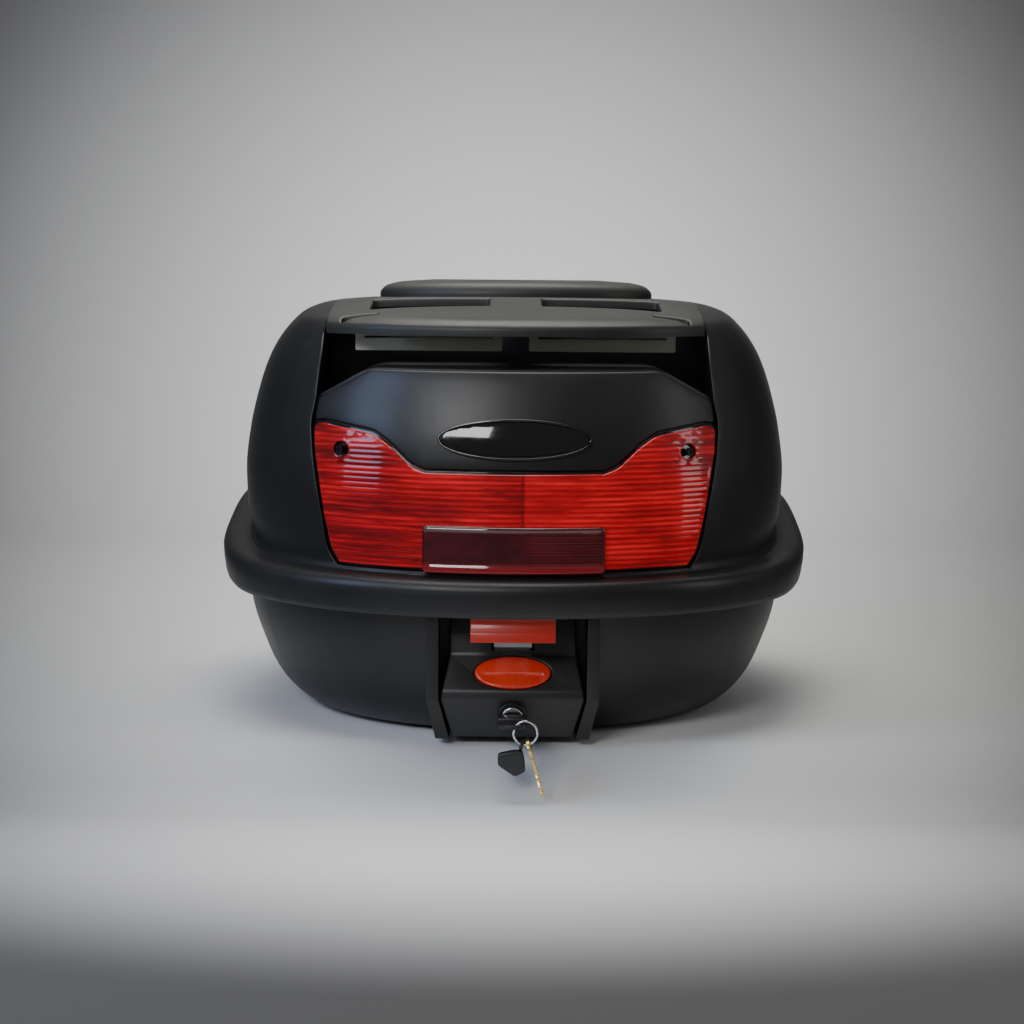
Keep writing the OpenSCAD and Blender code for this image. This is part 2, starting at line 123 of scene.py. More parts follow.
def curve(pairs):
    """Smooth, never overshooting function through (input, value) pairs."""
    pairs = sorted(pairs)
    xs = [p[0] for p in pairs]
    ys = [p[1] for p in pairs]
    steps = [xs[i + 1] - xs[i] for i in range(len(xs) - 1)]
    slopes = [(ys[i + 1] - ys[i]) / steps[i] for i in range(len(steps))]
    tangents = [slopes[0]]
    for i in range(1, len(steps)):
        left, right = slopes[i - 1], slopes[i]
        if left * right <= 0:
            tangents.append(0)
        else:
            w1 = 2 * steps[i] + steps[i - 1]
            w2 = steps[i] + 2 * steps[i - 1]
            tangents.append((w1 + w2) / (w1 / left + w2 / right))
    tangents.append(slopes[-1])

    def value(x):
        if x <= xs[0]:
            return ys[0]
        if x >= xs[-1]:
            return ys[-1]
        k = 0
        while x > xs[k + 1]:
            k += 1
        h = steps[k]
        s = (x - xs[k]) / h
        return ((1 + 2 * s) * (1 - s) ** 2 * ys[k] + s * (1 - s) ** 2 * h * tangents[k]
                + s * s * (3 - 2 * s) * ys[k + 1] + s * s * (s - 1) * h * tangents[k + 1])
    return value


class Profile:
    """Half width, rear depth and front depth of a shell at any height."""

    def __init__(self, sections):
        self.side, self.rear, self.front = (
            curve([(s[0], s[k]) for s in sections]) for k in (1, 2, 3))

    def section(self, z, side=0, rear=0, up=0):
        return (z + up, self.side(z) + side, self.rear(z) + rear, self.front(z) + side)


lid_profile = Profile(LID)
tub_profile = Profile(TUB)
opening_half = curve(OPENING)


def smooth_step(s):
    s = min(1, max(0, s))
    return s * s * (3 - 2 * s)


def lift(y):
    return LIFT_H * smooth_step((y - LIFT_FROM) / LIFT_RUN)


def lid_share(z):
    return min(1, max(0, (LID_LIFT_END - z) / LID_LIFT_FADE))


def tub_share(z):
    return min(1, max(0, z) / TUB_LIFT_FULL) ** TUB_LIFT_POWER


def rear_y(x, z, off=0):
    """Where the lid's rear surface, grown by off, is at x and z."""
    side = lid_profile.side(z) + off
    rear = lid_profile.rear(z) + off
    return -rear * max(0, 1 - (abs(x) / side) ** N_REAR) ** (1 / N_REAR)


def roof_z(x, y, off=0):
    """Height of the lid's roof, grown by off, over x and y."""
    low, high = ROOF_LOW, ROOF_HIGH
    for _ in range(ROOF_STEPS):
        z = (low + high) / 2
        side = lid_profile.side(z) + off
        depth = (lid_profile.rear(z) if y < 0 else lid_profile.front(z)) + off
        n = N_REAR if y < 0 else N_FRONT
        within = (abs(x) / side) ** n + (abs(y) / depth) ** n < 1
        low, high = (z, high) if within else (low, z)
    return low + off


def ring(section, share, segments):
    """Points round one section; share(z) says how much of the lift it takes."""
    z, side, rear, front = section
    points = []
    for i in range(segments):
        t = 2 * math.pi * i / segments
        c, s = math.cos(t), math.sin(t)
        p = 2 / (N_REAR if s < 0 else N_FRONT)
        x = side * math.copysign(abs(c) ** p, c)
        y = (rear if s < 0 else front) * math.copysign(abs(s) ** p, s)
        points.append((x, y, z + share(z) * lift(y)))
    return points


# ---- mesh helpers

SHARP = math.radians(34)
BEVEL_SHARP = math.radians(50)
FLAT_ANGLE = math.radians(1)
MERGE = 1e-6


def object_from(name, verts, faces):
    """Mesh object from points in mm, with outward normals and smooth shading."""
    mesh = bpy.data.meshes.new(name)
    mesh.from_pydata([Vector(v) * MM for v in verts], [], faces)
    return clean(new_object(name, mesh))


def clean(obj, sharp=SHARP, merge=MERGE):
    """Merges points, turns faces outwards, shades smooth and marks the sharp edges."""
    bm = bmesh.new()
    bm.from_mesh(obj.data)
    if merge:
        bmesh.ops.remove_doubles(bm, verts=bm.verts, dist=merge)
    bmesh.ops.recalc_face_normals(bm, faces=bm.faces)
    for face in bm.faces:
        face.smooth = True
    for edge in bm.edges:
        edge.smooth = not (len(edge.link_faces) == 2 and edge.calc_face_angle(0) > sharp)
    bm.to_mesh(obj.data)
    bm.free()
    obj.data.update()
    return obj


def apply_modifiers(obj):
    """Puts the result of the object's modifiers in place of its mesh."""
    graph = bpy.context.evaluated_depsgraph_get()
    mesh = bpy.data.meshes.new_from_object(obj.evaluated_get(graph))
    obj.modifiers.clear()
    old = obj.data
    obj.data = mesh
    bpy.data.meshes.remove(old)
    return obj


def combine(target, others, operation):
    """Boolean of target with each of the others, which are used up."""
    for other in others:
        mod = target.modifiers.new("cut", "BOOLEAN")
        mod.operation = operation
        mod.solver = "MANIFOLD"
        mod.object = other
        apply_modifiers(target)
        bpy.data.objects.remove(other)
    return clean(target, merge=0)


def bevelled(obj, width, segments=3, angle=28):
    mod = obj.modifiers.new("bevel", "BEVEL")
    mod.width = width * MM
    mod.segments = segments
    mod.limit_method = "ANGLE"
    mod.angle_limit = math.radians(angle)
    mod.miter_outer = "MITER_ARC"
    apply_modifiers(obj)
    return clean(obj, BEVEL_SHARP)


def loft(name, sections, share, segments=SHELL_SEGMENTS):
    """Closed solid through sections in order, with its first and last ring capped."""
    verts = [p for s in sections for p in ring(s, share, segments)]
    faces = []
    for k in range(len(sections) - 1):
        for i in range(segments):
            j = (i + 1) % segments
            faces.append((k * segments + i, k * segments + j,
                          (k + 1) * segments + j, (k + 1) * segments + i))
    # Each cap is strips across the ring, which follow the lift of its two halves.
    low = 3 * segments // 4
    for first in (0, (len(sections) - 1) * segments):
        for j in range(segments // 2):
            strip = (low + j, low + j + 1, low - j - 1, low - j)
            strip = [first + i % segments for i in strip]
            faces.append(list(dict.fromkeys(strip)))
    return object_from(name, verts, faces)


def object_of(name, bm):
    mesh = bpy.data.meshes.new(name)
    bm.to_mesh(mesh)
    bm.free()
    return new_object(name, mesh)


def hull(name, points):
    """Convex solid round points."""
    bm = bmesh.new()
    for p in points:
        bm.verts.new(Vector(p) * MM)
    bmesh.ops.convex_hull(bm, input=bm.verts)
    bmesh.ops.dissolve_limit(bm, angle_limit=FLAT_ANGLE, verts=bm.verts, edges=bm.edges)
    return clean(object_of(name, bm))


def corners(low, high):
    """The eight corners of a box."""
    return [(x, y, z) for x in (low[0], high[0]) for y in (low[1], high[1])
            for z in (low[2], high[2])]


def block(name, low, high):
    return hull(name, corners(low, high))


def prism(name, outline, place, near, far):
    """Solid between two flat copies of an outline; place(u, v, w) gives each point."""
    n = len(outline)
    verts = [place(u, v, w) for w in (near, far) for u, v in outline]
    faces = [(i, (i + 1) % n, n + (i + 1) % n, n + i) for i in range(n)]
    faces += [list(range(n)), list(range(2 * n - 1, n - 1, -1))]
    return object_from(name, verts, faces)


def tube(name, rings, closed=False):
    """Skin over a list of equal rings of points."""
    n = len(rings[0])
    verts = [p for r in rings for p in r]
    faces = []
    count = len(rings)
    for k in range(count if closed else count - 1):
        for i in range(n):
            j = (i + 1) % n
            m = (k + 1) % count
            faces.append((k * n + i, k * n + j, m * n + j, m * n + i))
    if not closed:
        faces += [list(range(n)), list(range((count - 1) * n, count * n))]
    return object_from(name, verts, faces)


# ---- flat outlines

def resample(loop, spacing):
    """Closed loop with extra points, so that no edge is longer than spacing."""
    out = []
    for i, a in enumerate(loop):
        b = loop[(i + 1) % len(loop)]
        n = max(1, math.ceil(math.dist(a, b) / spacing))
        out += [(a[0] + (b[0] - a[0]) * k / n, a[1] + (b[1] - a[1]) * k / n) for k in range(n)]
    return out


def rounded(loop, radius, steps=5):
    """Closed loop with each corner replaced by a small curve."""
    out = []
    n = len(loop)
    for i in range(n):
        p = Vector(loop[i])
        a = Vector(loop[i - 1]) - p
        b = Vector(loop[(i + 1) % n]) - p
        reach = min(radius, a.length * 0.45, b.length * 0.45)
        start, end = p + a.normalized() * reach, p + b.normalized() * reach
        for k in range(steps + 1):
            t = k / steps
            out.append(tuple((1 - t) ** 2 * start + 2 * t * (1 - t) * p + t * t * end))
    return out


def area(loop):
    return 0.5 * sum(loop[i - 1][0] * loop[i][1] - loop[i][0] * loop[i - 1][1]
                     for i in range(len(loop)))


def turned(loop, positive):
    return loop if (area(loop) > 0) == positive else loop[::-1]


MITRE_LIMIT = 0.6


def inset(loop, distance):
    """Moves each point of a loop to the left of its direction of travel."""
    out = []
    n = len(loop)
    for i in range(n):
        a, p, b = (Vector(loop[k]) for k in (i - 1, i, (i + 1) % n))
        d1 = (p - a).normalized()
        d2 = (b - p).normalized()
        n1, n2 = Vector((-d1.y, d1.x)), Vector((-d2.y, d2.x))
        mid = n1 + n2
        mid.normalize()
        out.append(tuple(p + mid * distance / max(MITRE_LIMIT, mid.dot(n1))))
    return out


def inside(loop, p):
    """Whether point p is inside a closed loop."""
    hit = False
    for i in range(len(loop)):
        (x1, y1), (x2, y2) = loop[i - 1], loop[i]
        if (y1 > p[1]) != (y2 > p[1]) and p[0] < (x2 - x1) * (p[1] - y1) / (y2 - y1) + x1:
            hit = not hit
    return hit


def distance_to(loop, p):
    """Distance from point p to the nearest edge of a closed loop."""
    best = math.inf
    for i in range(len(loop)):
        ax, ay = loop[i - 1]
        bx, by = loop[i]
        dx, dy = bx - ax, by - ay
        t = max(0, min(1, ((p[0] - ax) * dx + (p[1] - ay) * dy) / (dx * dx + dy * dy + 1e-12)))
        best = min(best, math.hypot(p[0] - ax - t * dx, p[1] - ay - t * dy))
    return best


GRID_CLEAR = 0.55
CDT_TOLERANCE = 1e-5


def grid_inside(loops, step):
    """Grid points inside the first loop, outside the holes and clear of every edge."""
    us = [p[0] for p in loops[0]]
    vs = [p[1] for p in loops[0]]
    nu = max(1, round((max(us) - min(us)) / step[0]))
    nv = max(1, round((max(vs) - min(vs)) / step[1]))
    clear = GRID_CLEAR * min(step)
    points = []
    for iv in range(1, nv):
        v = min(vs) + (max(vs) - min(vs)) * iv / nv
        for iu in range(1, nu):
            p = (min(us) + (max(us) - min(us)) * iu / nu, v)
            if covers(loops, p) and all(distance_to(loop, p) > clear for loop in loops):
                points.append(p)
    return points


def covers(loops, p):
    return inside(loops[0], p) and not any(inside(hole, p) for hole in loops[1:])


def face_mesh(loops, step):
    """Triangulates flat loops. Gives the new points, for each of them the outline point that it
    is or None, and the triangles."""
    points = [p for loop in loops for p in loop]
    fixed = len(points)
    edges = []
    base = 0
    for loop in loops:
        n = len(loop)
        edges += [(base + i, base + (i + 1) % n) for i in range(n)]
        base += n
    points += grid_inside(loops, step)
    out, _, tris, origin, _, _ = geometry.delaunay_2d_cdt(
        [Vector(p) for p in points], edges, [], 0, CDT_TOLERANCE)
    source = [next((o for o in origin[k] if o < fixed), None) for k in range(len(out))]
    kept = []
    for tri in tris:
        mid = (sum(out[k].x for k in tri) / 3, sum(out[k].y for k in tri) / 3)
        if covers(loops, mid):
            kept.append(tri)
    return out, source, kept


def patch(name, loops, rim, place, step):
    """Closed plate over flat loops. loops[0] is the outside, the rest are holes. rim lists
    (inset, depth) from the front face's edge to the back face's edge. place(u, v, depth) puts a
    point in space."""
    loops = [turned(loop, k == 0) for k, loop in enumerate(loops)]
    verts, faces = [], []
    ring_start = []
    for inset_by, depth in rim:
        ring_start.append(len(verts))
        for loop in loops:
            verts += [place(u, v, depth) for u, v in inset(loop, inset_by)]
    for a, b in zip(ring_start, ring_start[1:]):
        base = 0
        for loop in loops:
            n = len(loop)
            for i in range(n):
                j = (i + 1) % n
                faces.append((a + base + i, a + base + j, b + base + j, b + base + i))
            base += n
    for which in (0, -1):
        inset_by, depth = rim[which]
        out, source, tris = face_mesh([inset(loop, inset_by) for loop in loops], step)
        index = []
        for p, outline_point in zip(out, source):
            if outline_point is None:
                index.append(len(verts))
                verts.append(place(p.x, p.y, depth))
            else:
                index.append(ring_start[which] + outline_point)
        faces += [[index[k] for k in tri] for tri in tris]
    return object_from(name, verts, faces)


def fillet(radius, top, bottom, steps=4):
    """Rim of a plate: a quarter round from its front face at top, then straight to bottom."""
    out = [(radius * (1 - math.sin(math.pi / 2 * k / steps)),
            top - radius * (1 - math.cos(math.pi / 2 * k / steps))) for k in range(steps + 1)]
    return out + [(0, bottom)]


def mirror(path):
    """Closed loop of a path and its mirror image over x = 0."""
    return path + [(-x, z) for x, z in reversed(path)]


def rear_place(x, z, off):
    """A point on the lid's rear surface, or off above it."""
    return (x, rear_y(x, z, off), z)


def rectangle(u0, u1, v0, v1):
    return [(u0, v0), (u1, v0), (u1, v1), (u0, v1)]


def oval(half_w, half_h, middle=(0, 0), count=96):
    return [(middle[0] + half_w * math.cos(2 * math.pi * i / count),
             middle[1] + half_h * math.sin(2 * math.pi * i / count)) for i in range(count)]


# ---- materials

EDGE_POINTINESS = (0.52, 0.6)
LEVEL_NORMAL = (0.5, 0.95)


class Graph:
    """Small helper that builds a procedural material."""

    def __init__(self, name):
        self.material = bpy.data.materials.new(name)
        self.material.use_nodes = True
        self.tree = self.material.node_tree
        self.shader = self.tree.nodes["Principled BSDF"]
        self.coords = self.node("ShaderNodeTexCoord").outputs["Object"]

    def node(self, kind, **settings):
        node = self.tree.nodes.new(kind)
        for key, value in settings.items():
            setattr(node, key, value)
        return node

    def link(self, source, target):
        if isinstance(source, (int, float, tuple)):
            target.default_value = source
        else:
            self.tree.links.new(source, target)

    def stretch(self, scale):
        node = self.node("ShaderNodeMapping")
        self.link(self.coords, node.inputs["Vector"])
        node.inputs["Scale"].default_value = scale
        return node.outputs[0]

    def noise(self, scale, detail=3, roughness=0.5, vector=None, seed=0):
        node = self.node("ShaderNodeTexNoise", noise_dimensions="4D")
        self.link(vector or self.coords, node.inputs["Vector"])
        node.inputs["W"].default_value = seed
        node.inputs["Scale"].default_value = scale
        node.inputs["Detail"].default_value = detail
        node.inputs["Roughness"].default_value = roughness
        return node.outputs["Fac"]

    def remap(self, value, low, high, to_low=0.0, to_high=1.0):
        node = self.node("ShaderNodeMapRange", interpolation_type="SMOOTHSTEP")
        self.link(value, node.inputs["Value"])
        for key, number in (("From Min", low), ("From Max", high), ("To Min", to_low),
                            ("To Max", to_high)):
            node.inputs[key].default_value = number
        return node.outputs["Result"]

    def math(self, operation, a, b=0.0):
        node = self.node("ShaderNodeMath", operation=operation)
        self.link(a, node.inputs[0])
        self.link(b, node.inputs[1])
        return node.outputs[0]

    def mix(self, factor, a, b):
        node = self.node("ShaderNodeMix", data_type="RGBA")
        self.link(factor, node.inputs["Factor"])
        for socket, colour in (("A", a), ("B", b)):
            source = (*colour, 1) if isinstance(colour, tuple) else colour
            self.link(source, [i for i in node.inputs
                               if i.name == socket and i.type == "RGBA"][0])
        return [o for o in node.outputs if o.type == "RGBA"][0]

    def axis(self, source, which):
        node = self.node("ShaderNodeSeparateXYZ")
        self.link(source, node.inputs[0])
        return node.outputs[which]

    def bump(self, height, distance, strength):
        node = self.node("ShaderNodeBump")
        self.link(height, node.inputs["Height"])
        node.inputs["Distance"].default_value = distance
        node.inputs["Strength"].default_value = strength
        return node.outputs[0]

    def edges(self):
        """1 on outward edges, 0 on flat faces."""
        surface = self.node("ShaderNodeNewGeometry")
        return self.remap(surface.outputs["Pointiness"], *EDGE_POINTINESS)

    def facing_up(self):
        surface = self.node("ShaderNodeNewGeometry")
        return self.remap(self.axis(surface.outputs["Normal"], "Z"), *LEVEL_NORMAL)

    def finish(self, colour, roughness, normal=None, **fixed):
        self.link(colour, self.shader.inputs["Base Color"])
        self.link(roughness, self.shader.inputs["Roughness"])
        if normal:
            self.link(normal, self.shader.inputs["Normal"])
        for key, value in fixed.items():
            self.shader.inputs[key.replace("_", " ")].default_value = value
        return self.material


def plastic(name, colour, roughness=0.42, grain=1100, depth=0.00006, painted_top_light=0.0,
            painted_top_light_colour=None, wear=0.35, coat=0.0):
    """Moulded plastic: fine grain, uneven gloss, paler worn edges and, if asked, a paler top that is
    painted light from above.
    """
    g = Graph(name)
    fine = g.noise(grain, 2, 0.6)
    blotch = g.noise(9, 4, 0.55, seed=2)
    scuff = g.noise(60, 5, 0.7, g.stretch((1, 1, 0.25)), seed=5)
    paler = tuple(min(1, c * 1.7 + 0.012) for c in colour)
    body = g.mix(g.remap(blotch, 0.35, 0.7), colour, tuple(c * 1.25 + 0.001 for c in colour))
    worn = g.math("MULTIPLY", g.edges(), g.remap(scuff, 0.4, 0.62, 0.25, 1.0))
    body = g.mix(g.math("MULTIPLY", worn, wear), body, paler)
    if painted_top_light:
        # Painted light: upward faces are tinted a paler olive in patches, as if lit from above.
        top = g.math("MULTIPLY", g.facing_up(), g.remap(blotch, 0.25, 0.75, 0.55, 1.0))
        body = g.mix(g.math("MULTIPLY", top, painted_top_light), body, painted_top_light_colour)
    rough = g.math("ADD", g.remap(blotch, 0.3, 0.7, roughness - 0.05, roughness + 0.05),
                   g.remap(scuff, 0.5, 0.75, 0.0, 0.08))
    normal = g.bump(fine, depth, 0.6)
    return g.finish(body, rough, normal, Coat_Weight=coat, Coat_Roughness=0.12)


def metal(name, colour, roughness=0.25, brushed=(1, 1, 30), wear=0.3):
    """Metal with brushed lines, faint stains and paler edges."""
    g = Graph(name)
    lines = g.noise(120, 4, 0.7, g.stretch(brushed), seed=3)
    stain = g.noise(40, 4, 0.6, seed=7)
    body = g.mix(g.remap(stain, 0.4, 0.75), colour, tuple(c * 0.7 for c in colour))
    body = g.mix(g.math("MULTIPLY", g.edges(), wear), body,
                 tuple(min(1, c * 1.25) for c in colour))
    rough = g.math("ADD", g.remap(lines, 0.3, 0.7, roughness - 0.05, roughness + 0.08),
                   g.remap(stain, 0.5, 0.8, 0.0, 0.1))
    return g.finish(body, rough, g.bump(lines, 0.00002, 0.5), Metallic=1.0)


def glossy(name, colour, roughness=0.06):
    """Polished hard plastic with faint waves and hairline scratches."""
    g = Graph(name)
    wave = g.noise(25, 2, 0.4)
    hair = g.noise(700, 2, 0.8, g.stretch((0.15, 1, 1)), seed=4)
    body = g.mix(g.math("MULTIPLY", g.remap(hair, 0.55, 0.8), 0.03), colour, (0.3, 0.3, 0.3))
    rough = g.remap(g.noise(35, 4, 0.6, seed=6), 0.35, 0.8, roughness, roughness + 0.1)
    return g.finish(body, rough, g.bump(wave, 0.00016, 0.4), Coat_Weight=0.6,
                    Coat_Roughness=0.03)


def reflector_red(name):
    """Clear red moulding over a ribbed back, with painted reflections of that bright back (streaks
    along the ribs and lighter cells) and a painted glow.
    """
    g = Graph(name)
    x, z = (g.axis(g.coords, k) for k in ("X", "Z"))
    streak = g.noise(60, 4, 0.75, g.stretch((0.16, 0.16, 2.2)), seed=1)
    cell = g.noise(9, 3, 0.55, g.stretch((1.2, 0.6, 0.5)), seed=8)
    rib = g.math("SINE", g.math("MULTIPLY", z, 2 * math.pi / (RIB_STEP * MM)))
    # Painted reflection: bright streaks and lighter cells of the ribbed back, stronger on the rib
    # crests.
    painted_reflection = g.math("ADD", g.math("MULTIPLY", g.remap(streak, 0.38, 0.66), 0.62),
                  g.math("MULTIPLY", g.remap(cell, 0.42, 0.68), 0.5))
    painted_reflection = g.math("MULTIPLY", painted_reflection, g.remap(rib, -1.0, 1.0, 0.45, 1.1))
    # Painted light: the half to the right of the lamp wall is brighter near the middle.
    right = g.math("MULTIPLY", g.remap(x, 0.004, 0.008), g.remap(x, 0.07, 0.02))
    painted_reflection = g.math("ADD", painted_reflection, g.math("MULTIPLY", right, 0.28))
    wall = g.math("COMPARE", x, LAMP_WALL_X)
    wall.node.inputs[2].default_value = LAMP_WALL_HALF
    colour_with_painted_light = g.mix(g.math("MULTIPLY", wall, 0.6), g.mix(painted_reflection, LENS_DEEP, LENS_PAINTED_REFLECTION), LENS_DEEP)
    # Painted light: the lens emits its colour, painted reflections included, so it glows though it is
    # no lamp.
    g.link(colour_with_painted_light, g.shader.inputs["Emission Color"])
    g.shader.inputs["Emission Strength"].default_value = 0.22
    rough = g.remap(g.noise(45, 4, 0.6, seed=6), 0.3, 0.8, 0.12, 0.24)
    normal = g.bump(g.noise(40, 2, 0.5), 0.0002, 0.35)
    return g.finish(colour_with_painted_light, rough, normal, Coat_Weight=0.6, Coat_Roughness=0.03,
                    Specular_IOR_Level=0.35)


def smoked(name):
    """Smoked red block with a cloudy tone, with painted highlights on the crests of fine ribs on its
    right half and along its lower lip.
    """
    g = Graph(name)
    x, z = (g.axis(g.coords, k) for k in ("X", "Z"))
    rib = g.math("SINE", g.math("MULTIPLY", z, 2 * math.pi / (SMOKED_RIB_STEP * MM)))
    # Painted highlights: the rib crests on the right half are lighter.
    ribbed = g.math("MULTIPLY", g.remap(rib, -0.4, 1.0), g.remap(x, 0.008, 0.014))
    # Painted highlight along the lower lip.
    low = g.remap(z, 0.122, 0.1135)
    cloud = g.noise(30, 3, 0.6, g.stretch((1, 1, 1.8)))
    body = g.mix(g.remap(cloud, 0.35, 0.75), SMOKED_DARK, SMOKED_PALE)
    body = g.mix(g.math("MULTIPLY", ribbed, 0.55), body, SMOKED_RIB_HIGHLIGHT)
    body = g.mix(g.math("MULTIPLY", low, 0.8), body, SMOKED_LIP_HIGHLIGHT)
    return g.finish(body, g.remap(cloud, 0.3, 0.8, 0.06, 0.14),
                    g.bump(g.noise(40, 2, 0.5), 0.0002, 0.3), Coat_Weight=0.8,
                    Coat_Roughness=0.02)


RIB_STEP = 3.4
LAMP_WALL_X, LAMP_WALL_HALF = 0.0055, 0.0009
LENS_DEEP = (0.13, 0.001, 0.003)
LENS_PAINTED_REFLECTION = (0.9, 0.012, 0.02)
SMOKED_RIB_STEP = 1.9
SMOKED_DARK = (0.05, 0.003, 0.006)
SMOKED_PALE = (0.11, 0.006, 0.011)
SMOKED_RIB_HIGHLIGHT = (0.17, 0.012, 0.016)
SMOKED_LIP_HIGHLIGHT = (0.42, 0.012, 0.02)

MATERIALS = {
    "shell": plastic("shell_plastic", (0.009, 0.009, 0.0095), 0.4),
    "panel": plastic("panel_plastic", (0.011, 0.011, 0.0115), 0.37, grain=1500, depth=0.00003),
    # The rack's top is tinted paler olive: painted light from above.
    "rack": plastic("rack_plastic", (0.015, 0.015, 0.0135), 0.44, painted_top_light=0.4,
                    painted_top_light_colour=(0.1, 0.098, 0.082)),
    "housing": plastic("housing_plastic", (0.011, 0.011, 0.0115), 0.38),
    "tub": plastic("tub_plastic", (0.008, 0.008, 0.0085), 0.43),
    # The insert plates' pale olive is partly their own tone and partly painted light, raised so that
    # they look lit in the shade under the rack.
    "insert": plastic("insert_plastic_painted_light", (0.62, 0.62, 0.5), 0.4, wear=0.3),
    "seal": plastic("seal_rubber", (0.012, 0.012, 0.012), 0.7, grain=500),
    "plate": plastic("plate_plastic", (0.02, 0.02, 0.02), 0.5),
    "red": plastic("latch_red_plastic", (0.42, 0.018, 0.008), 0.33, grain=1500, depth=0.00002,
                   coat=0.3),
    "button": plastic("button_red_plastic", (0.6, 0.028, 0.008), 0.26, grain=1800,
                      depth=0.00001, coat=0.5),
    "key": plastic("key_plastic", (0.012, 0.0125, 0.015), 0.33, wear=0.6),
    "tray": glossy("tray_gloss", (0.004, 0.004, 0.005)),
    "badge": glossy("badge_gloss", (0.003, 0.003, 0.0035), 0.05),
    "lens": reflector_red("lens_red_clear"),
    "smoked": smoked("lens_smoked"),
    "chrome": metal("chrome_bright", (0.75, 0.76, 0.78), 0.1, (1, 1, 4)),
    "bezel": metal("bezel_black_chrome", (0.09, 0.09, 0.095), 0.14, (1, 1, 4), wear=0.15),
    "steel": metal("steel_zinc", (0.5, 0.5, 0.51), 0.32),
    "dark_metal": metal("metal_blackened", (0.05, 0.048, 0.05), 0.4),
    "brass": metal("key_brass", (0.83, 0.62, 0.24), 0.24, (1, 1, 12)),
}


def dress(obj, material, body, nodes=()):
    """Gives a finished piece its material, its body and the CAD nodes it stands for."""
    obj.data.materials.clear()
    obj.data.materials.append(MATERIALS[material])
    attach(obj, body)
    if nodes:
        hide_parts(*nodes)
    return obj


def join(name, parts):
    """One object from several, which are used up."""
    bm = bmesh.new()
    for part in parts:
        bm.from_mesh(part.data)
    for part in parts:
        bpy.data.objects.remove(part)
    return object_of(name, bm)


# ---- lid

LID_HEIGHTS = [285, 284.7, 284.3, 283.9, 283.5, 282.9, 282.3, 281.6, 281, 280, 278.8, 277.5,
               276, 274.6, 273, 271.5, 270, 268, 265.5, 262, 258, 254, 250, 246, 242]
LID_HEIGHTS += [237 - 4 * k for k in range(31)] + [114.6]
WALL = 3
REAR_WALL = 8
# The hollow for the hand under the rack, and the flat ledge in front of the rear panel.
OPENING_TOP = 300
CAVITY_FRONT = -30
LEDGE_HALF, LEDGE_Z = 95, 241
CAVITY_CORNER_Z, CAVITY_CORNER_R = 221.5, 9
CUT_TOP = 262
RECESS_DEPTH = -4
EDGE_R = 1.8
RECESS_EDGE_R = 1.2
# How far outside the surface a cutter starts, and the depth that stands for its far side.
OUTSIDE = 14
DEEP = -999
CORE_GAP = -1
HINGE_X = 90


def flare(radius, last):
    """Rim of a cutter that leaves a rounded edge on the surface it cuts."""
    out = [(-radius, OUTSIDE)]
    for k in range(6):
        a = math.pi / 2 * k / 5
        out.append((-radius * (1 - math.sin(a)), -radius * (1 - math.cos(a))))
    return out + [(0, last)]


CUT_REAR_Y = -230


def upright(x, z, y):
    """Places an outline drawn in x and z at depth y."""
    return (x, y, z)


def lid_core(name):
    """The lid's filled outside, a little smaller than the shell."""
    return loft(name, [lid_profile.section(z, CORE_GAP, CORE_GAP, CORE_GAP)
                       for z in LID_HEIGHTS], lid_share)


def cut_place(x, z, off):
    """Places the hand cutter: on the rear surface, and flat at its far side."""
    if off == DEEP:
        return (x, CAVITY_FRONT, z)
    return (x, rear_y(x, min(z, CUT_TOP), off), z)


def open_rounded(path, radius, steps=4):
    """The open path with its inner corners rounded."""
    loop = rounded(path, radius, steps)
    return [path[0]] + loop[steps + 1:-steps - 1] + [path[-1]]


def cavity_outline(grow=0):
    """Outline of the hollow for the hand, seen from behind."""
    side = [(opening_half(z) + grow, z) for z in range(225, OPENING_TOP + 1, 5)]
    corner_x, corner_z = opening_half(222) + grow, CAVITY_CORNER_Z - grow
    low = open_rounded([(-corner_x, corner_z), (-LEDGE_HALF, LEDGE_Z - grow),
                        (LEDGE_HALF, LEDGE_Z - grow), (corner_x, corner_z)], CAVITY_CORNER_R)
    return resample(mirror(side) + low, 5)


def make_lid():
    outer = [lid_profile.section(z) for z in LID_HEIGHTS]
    inner = [lid_profile.section(z, -WALL, -REAR_WALL, -WALL) for z in LID_HEIGHTS[::-1]]
    shell = loft("lid_case", outer + SKIRT + inner, lid_share)
    # The cavity for the hand has a wall of its own inside the lid.
    walls = prism("cavity", cavity_outline(WALL), upright, CAVITY_FRONT + WALL, CUT_REAR_Y)
    combine(walls, [lid_core("core")], "INTERSECT")
    bosses = [bevelled(block("boss", (side * HINGE_X - 8, 180, 130),
                             (side * HINGE_X + 8, 199, 150)), 1) for side in (-1, 1)]
    combine(shell, [walls] + bosses, "UNION")
    hand = patch("hand", [cavity_outline()], flare(EDGE_R, DEEP), cut_place, (14, 14))
    side = [(opening_half(z), z) for z in [113.6, 118, 122] + list(range(126, 250, 4))]
    recess = patch("recess", [resample(mirror(side), 5)], flare(RECESS_EDGE_R, RECESS_DEPTH),
                   rear_place, (8, 8))
    combine(shell, [hand, recess], "DIFFERENCE")
    dress(shell, "shell", "lid", ["lid_shell"])


def lens_outline():
    return mirror(open_rounded(LENS_TOP[::-1] + LENS_SIDE, 4))


def make_panel():
    side = [(93, 240.3), (129, 220.3), (131.3, 205.6)]
    low = [(x, z + 2) for x, z in LENS_TOP]
    loop = rounded(mirror(side + low), 3.5, 4)
    panel = patch("rear_trim_panel", [resample(loop, 4)], fillet(1.6, -1.5, -3.9), rear_place,
                  (6, 6))
    dress(panel, "panel", "lid", ["rear_panel"])


